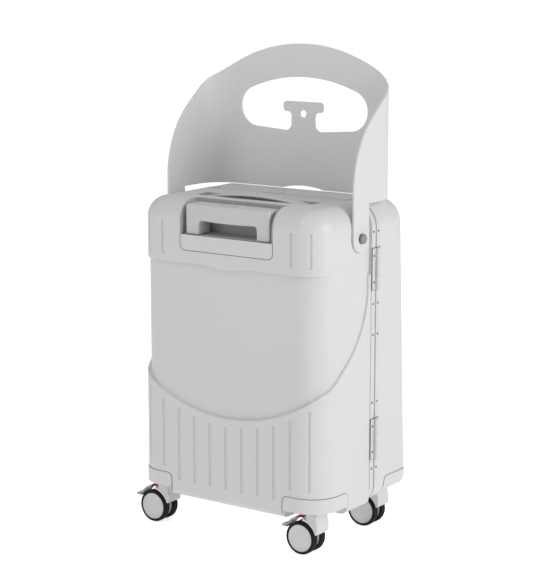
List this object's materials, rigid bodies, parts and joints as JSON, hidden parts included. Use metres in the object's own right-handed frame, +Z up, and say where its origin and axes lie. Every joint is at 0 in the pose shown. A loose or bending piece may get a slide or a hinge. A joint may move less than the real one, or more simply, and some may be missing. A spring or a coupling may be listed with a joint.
{
  "type": "ride on suitcase",
  "caption": "Hard spinner suitcase with a U-shaped seat guard that folds over its back, a telescopic trolley handle, a hinged front half and braked casters.",
  "frame": {"origin": "on the floor under the middle of the overall box", "axes": "+Z up; the trolley handle and the folded guard are on the -Y side, the hinged front half on +Y; +X to the right seen from the handle side"},
  "size_m": [0.3956, 0.2601, 0.7888],
  "materials": {
    "shell_white": "satin moulded",
    "guard_white": "satin moulded",
    "frame_white": "satin",
    "trim_grey": "fine texture",
    "grip_grey": "fine texture",
    "tube_metal": "satin anodised",
    "steel": "zinc plated",
    "dark_metal": "dark plated",
    "black_plastic": "moulded",
    "tyre_black": "matt",
    "hub_grey": "satin",
    "fork_white": "satin",
    "lining_grey": "woven",
    "brake_red": "satin"
  },
  "bodies": {
    "case": {"rear_shell": "shell_white", "rear_frame": "frame_white", "handle_cup": "trim_grey", "handle_bezel": "shell_white", "trolley_sleeves": "tube_metal", "trolley_foot": "black_plastic", "rear_pads": "shell_white", "hinge_leaves_rear": "frame_white", "hinge_pins": "steel", "pivot_bolts": "dark_metal", "pivot_plates": "steel", "latch_base": "trim_grey", "rivets_rear": "dark_metal", "carry_tray": "trim_grey", "lining_rear": "lining_grey"},
    "lid": {"front_shell": "shell_white", "front_frame": "frame_white", "front_pads": "shell_white", "hinge_leaves_front": "frame_white", "latch_keeper": "trim_grey", "rivets_front": "dark_metal", "lining_front": "lining_grey"},
    "latch": {"latch_lever": "trim_grey"},
    "carry": {"carry_handle": "grip_grey"},
    "guard": {"seat_guard": "guard_white", "guard_bushes": "black_plastic"},
    "stage_one": {"mid_tubes": "tube_metal", "tube_collars": "black_plastic"},
    "stage_two": {"inner_tubes": "tube_metal", "grip": "grip_grey"},
    "button": {"release_button": "grip_grey", "release_rods": "steel"},
    "swivel_rear_left": {"fork_rear_left": "fork_white", "stem_rear_left": "steel"},
    "wheels_rear_left": {"axle_rear_left": "steel", "hubs_rear_left": "hub_grey", "tyres_rear_left": "tyre_black"},
    "brake_rear_left": {"brake_lever_rear_left": "trim_grey", "brake_shoe_rear_left": "brake_red"},
    "swivel_rear_right": {"fork_rear_right": "fork_white", "stem_rear_right": "steel"},
    "wheels_rear_right": {"axle_rear_right": "steel", "hubs_rear_right": "hub_grey", "tyres_rear_right": "tyre_black"},
    "brake_rear_right": {"brake_lever_rear_right": "trim_grey", "brake_shoe_rear_right": "brake_red"},
    "swivel_front_left": {"fork_front_left": "fork_white", "stem_front_left": "steel"},
    "wheels_front_left": {"axle_front_left": "steel", "hubs_front_left": "hub_grey", "tyres_front_left": "tyre_black"},
    "swivel_front_right": {"fork_front_right": "fork_white", "stem_front_right": "steel"},
    "wheels_front_right": {"axle_front_right": "steel", "hubs_front_right": "hub_grey", "tyres_front_right": "tyre_black"}
  },
  "joints": [
    {"name": "guard_fold", "type": "hinge", "parent": "case", "child": "guard", "pos_m": [0.0072, -0.0203, 0.4984], "axis": [1, 0, 0], "range_deg": [0, 180]},
    {"name": "lid_open", "type": "hinge", "parent": "case", "child": "lid", "pos_m": [0.1944, 0.0217, 0.3], "axis": [0, 0, -1], "range_deg": [0, 170]},
    {"name": "latch_open", "type": "hinge", "parent": "case", "child": "latch", "pos_m": [-0.18048, 0.00782, 0.277], "axis": [0, 0, 1], "range_deg": [0, 100]},
    {"name": "carry_lift", "type": "slide", "parent": "case", "child": "carry", "axis": [0, 0, 1], "range_m": [0, 0.012]},
    {"name": "handle_first", "type": "slide", "parent": "case", "child": "stage_one", "axis": [0, 0, 1], "range_m": [0, 0.286]},
    {"name": "handle_second", "type": "slide", "parent": "stage_one", "child": "stage_two", "axis": [0, 0, 1], "range_m": [0, 0.24]},
    {"name": "button_press", "type": "slide", "parent": "stage_two", "child": "button", "axis": [0, 0, -1], "range_m": [0, 0.0025], "stiffness_N_per_m": 900, "springref_m": -0.006},
    {"name": "swivel_rear_left", "type": "hinge", "parent": "case", "child": "swivel_rear_left", "pos_m": [-0.1408, -0.0903, 0.07], "axis": [0, 0, 1], "continuous": true},
    {"name": "roll_rear_left", "type": "hinge", "parent": "swivel_rear_left", "child": "wheels_rear_left", "pos_m": [-0.1608, -0.0903, 0.027], "axis": [0, 1, 0], "continuous": true},
    {"name": "brake_rear_left", "type": "hinge", "parent": "swivel_rear_left", "child": "brake_rear_left", "pos_m": [-0.1543, -0.0903, 0.062], "axis": [0, -1, 0], "range_deg": [0, 3.5]},
    {"name": "swivel_rear_right", "type": "hinge", "parent": "case", "child": "swivel_rear_right", "pos_m": [0.1552, -0.0903, 0.07], "axis": [0, 0, 1], "continuous": true},
    {"name": "roll_rear_right", "type": "hinge", "parent": "swivel_rear_right", "child": "wheels_rear_right", "pos_m": [0.1352, -0.0903, 0.027], "axis": [0, 1, 0], "continuous": true},
    {"name": "brake_rear_right", "type": "hinge", "parent": "swivel_rear_right", "child": "brake_rear_right", "pos_m": [0.1417, -0.0903, 0.062], "axis": [0, -1, 0], "range_deg": [0, 3.5]},
    {"name": "swivel_front_left", "type": "hinge", "parent": "lid", "child": "swivel_front_left", "pos_m": [-0.1408, 0.0897, 0.07], "axis": [0, 0, 1], "continuous": true},
    {"name": "roll_front_left", "type": "hinge", "parent": "swivel_front_left", "child": "wheels_front_left", "pos_m": [-0.1608, 0.0897, 0.027], "axis": [0, 1, 0], "continuous": true},
    {"name": "swivel_front_right", "type": "hinge", "parent": "lid", "child": "swivel_front_right", "pos_m": [0.1552, 0.0897, 0.07], "axis": [0, 0, 1], "continuous": true},
    {"name": "roll_front_right", "type": "hinge", "parent": "swivel_front_right", "child": "wheels_front_right", "pos_m": [0.1352, 0.0897, 0.027], "axis": [0, 1, 0], "continuous": true}
  ]
}
